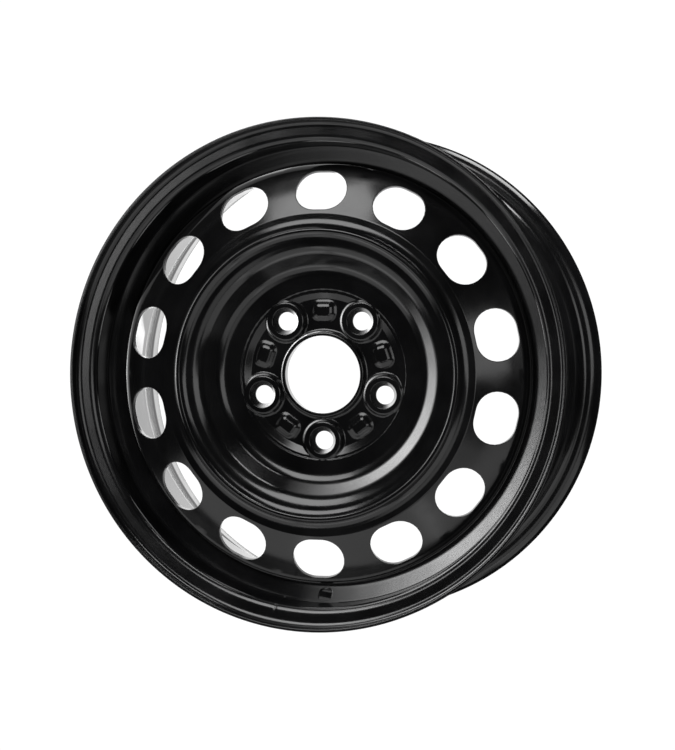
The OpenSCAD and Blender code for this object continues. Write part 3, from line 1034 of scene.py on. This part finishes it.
def floor_material():
    material = bpy.data.materials.new("pale_floor")
    material.use_nodes = True
    tree = material.node_tree
    tree.nodes.remove(tree.nodes["Principled BSDF"])
    glow = tree.nodes.new("ShaderNodeEmission")
    glow.inputs["Color"].default_value = (1, 1, 1, 1)
    glow.inputs["Strength"].default_value = FLOOR_GLOW
    tree.links.new(glow.outputs["Emission"], tree.nodes["Material Output"].inputs["Surface"])
    return material


def floor():
    low = CAD_BOX[0][2]
    corners = [(x * FLOOR_HALF, y * FLOOR_HALF, low) for x, y in ((-1, -1), (1, -1), (1, 1), (-1, 1))]
    mesh = bpy.data.meshes.new("floor")
    mesh.from_pydata(corners, [], [(0, 1, 2, 3)])
    mesh.materials.append(floor_material())
    plane = bpy.data.objects.new("floor", mesh)
    bpy.context.scene.collection.objects.link(plane)
    plane.visible_glossy = False
    plane.visible_shadow = False
    return plane


# Lights: distances in metres, the dish's wall in millimetres, angles in degrees
LIGHT_DISTANCE = 2.5
WALL_LIGHT_DISTANCE = 0.25
WALL_R = 100.0
WALL_Z = 18.0
WALL_ANGLE = -57
# Watts for each square metre of a panel and unit of its glow
PANEL_POWER = 4
# Panels for every piece: name, azimuth, polar angle, width, height, glow
OPEN_PANELS = (
    ("key", 108, 42, 30, 36, 4.6),
    ("right", 12, 31, 18, 32, 1.7),
    ("top", 67, 98, 28, 34, 8.0),
    ("low", 226, 70, 40, 56, 0.8),
    ("low", 270, 70, 40, 56, 0.8),
    ("low", 314, 70, 40, 56, 0.8),
    ("low_right", 300, 26, 34, 26, 0.65),
)
# Soft panels for the rim alone, and the disc's soft panel and plain panel, in the same order
RIM_PANELS = (
    ("rim_key", 143, 93, 84, 34, 7.0),
    ("rim_low", 222, 91, 170, 40, 0.7),
    ("rim_face", 154, 30, 60, 18, 5.5),
)
DISH_KEY = ("dish_key", 139, 113, 72, 43, 5.0)
DISH_LOW = ("dish_low", 245, 85, 80, 24, 0.6)
# Disk of light under the wheel, for what shows through the vents
BELOW_R = 0.198
BELOW_GLOW = 2.3
WORLD_GLOW = 0.01
# Panels of a soft light, one inside another: share of its size, share of its glow
SOFT_LAYERS = ((1.0, 0.09), (0.84, 0.1), (0.68, 0.16), (0.52, 0.21), (0.36, 0.24), (0.2, 0.2))


def wall_point(angle):
    """Place on the dish's wall at an angle in degrees."""
    a = math.radians(angle)
    return Vector((WALL_R * math.cos(a), WALL_R * math.sin(a), WALL_Z)) * MM


FRONT_CENTRE = Vector((0, 0, FRONT_PLANE_Z * MM))


def panel(name, azimuth, polar, width, height, glow, target=FRONT_CENTRE, distance=LIGHT_DISTANCE):
    """A light of even glow, placed and sized by angle from its target. Polar angles are from the axis."""
    light = bpy.data.lights.new(name, "AREA")
    light.shape = "RECTANGLE"
    light.size = 2 * distance * math.tan(math.radians(width) / 2)
    light.size_y = 2 * distance * math.tan(math.radians(height) / 2)
    light.energy = glow * PANEL_POWER * light.size * light.size_y
    lamp = bpy.data.objects.new(name, light)
    a, p = math.radians(azimuth), math.radians(polar)
    away = Vector((math.sin(p) * math.cos(a), math.sin(p) * math.sin(a), math.cos(p)))
    around = Vector((-math.sin(a), math.cos(a), 0))
    down = around.cross(away)
    lamp.matrix_world = Matrix((around, -down, away)).transposed().to_4x4()
    lamp.location = target + away * distance
    lamp.visible_camera = False
    bpy.context.scene.collection.objects.link(lamp)
    return lamp


def soft_panel(name, azimuth, polar, width, height, glow, *place):
    """A light that is brightest in the middle and fades to its edge."""
    return [
        panel(name, azimuth, polar, width * size, height * size, glow * part, *place)
        for size, part in SOFT_LAYERS]


def fill_for(lamp, piece, pieces):
    """Keeps a light for one piece, with nothing to block it."""
    lit = bpy.data.collections.new(lamp.name + "_lit")
    lit.objects.link(piece)
    lamp.light_linking.receiver_collection = lit
    passed = bpy.data.collections.new(lamp.name + "_passed")
    for other in pieces:
        passed.objects.link(other)
    for entry in passed.collection_objects:
        entry.light_linking.link_state = "EXCLUDE"
    lamp.light_linking.blocker_collection = passed


def light_below():
    """An even disk of light just over the floor, facing up into the wheel."""
    light = bpy.data.lights.new("below", "AREA")
    light.shape = "DISK"
    light.size = 2 * BELOW_R
    light.energy = BELOW_GLOW * math.pi ** 2 * BELOW_R ** 2
    lamp = bpy.data.objects.new("below", light)
    lamp.rotation_euler = (math.pi, 0, 0)
    lamp.location = (0, 0, CAD_BOX[0][2] + MM)
    lamp.visible_camera = False
    bpy.context.scene.collection.objects.link(lamp)


def lights(rim_piece, disc_piece, pieces):
    for values in OPEN_PANELS:
        panel(*values)
    for values in RIM_PANELS:
        for lamp in soft_panel(*values):
            fill_for(lamp, rim_piece, pieces)
    dish_lamps = soft_panel(*DISH_KEY, wall_point(WALL_ANGLE), WALL_LIGHT_DISTANCE)
    for lamp in dish_lamps + [panel(*DISH_LOW)]:
        fill_for(lamp, disc_piece, pieces)
    light_below()
    world = bpy.data.worlds.new("studio")
    world.use_nodes = True
    background = world.node_tree.nodes["Background"]
    background.inputs["Color"].default_value = (1, 1, 1, 1)
    background.inputs["Strength"].default_value = WORLD_GLOW
    bpy.context.scene.world = world
    bpy.context.scene.view_settings.view_transform = "Standard"
    bpy.context.scene.view_settings.look = "None"


# Camera: the photo's frame in pixels, the place of the front plane's centre in it, and the view's angles
IMAGE_SIZE = (675, 750)
AIM_PIXEL = (312.8, 375.0)
FOCAL_PIXELS = 2385.0
TILT = math.radians(15.48)
SWING = math.radians(3.17)
DISTANCE = 2.038
SENSOR = 36.0


def camera():
    lens = bpy.data.cameras.new("camera")
    lens.sensor_fit = "VERTICAL"
    lens.sensor_height = SENSOR
    lens.lens = FOCAL_PIXELS * SENSOR / IMAGE_SIZE[1]
    eye = bpy.data.objects.new("camera", lens)
    bpy.context.scene.collection.objects.link(eye)
    away = Vector((
        math.sin(TILT) * math.cos(SWING), math.sin(TILT) * math.sin(SWING), math.cos(TILT)))
    ahead = -away
    right = ahead.cross(Vector((0, 1, 0))).normalized()
    up = right.cross(ahead)
    off_x = (AIM_PIXEL[0] - IMAGE_SIZE[0] / 2) / FOCAL_PIXELS
    off_y = (IMAGE_SIZE[1] / 2 - AIM_PIXEL[1]) / FOCAL_PIXELS
    ahead = (ahead - right * off_x - up * off_y).normalized()
    right = ahead.cross(up).normalized()
    up = right.cross(ahead)
    eye.matrix_world = Matrix((right, up, -ahead)).transposed().to_4x4()
    eye.location = FRONT_CENTRE + away * DISTANCE
    bpy.context.scene.camera = eye


camera()
rim_piece = rim(satin_black("rim_paint_black", *RIM_PAINT))
disc_piece = disc(satin_black("disc_paint_black", *DISC_PAINT))
weld_piece = welds(satin_black("weld_paint_black", *WELD_PAINT))
stage = floor()
lights(rim_piece, disc_piece, (rim_piece, disc_piece, weld_piece, stage))
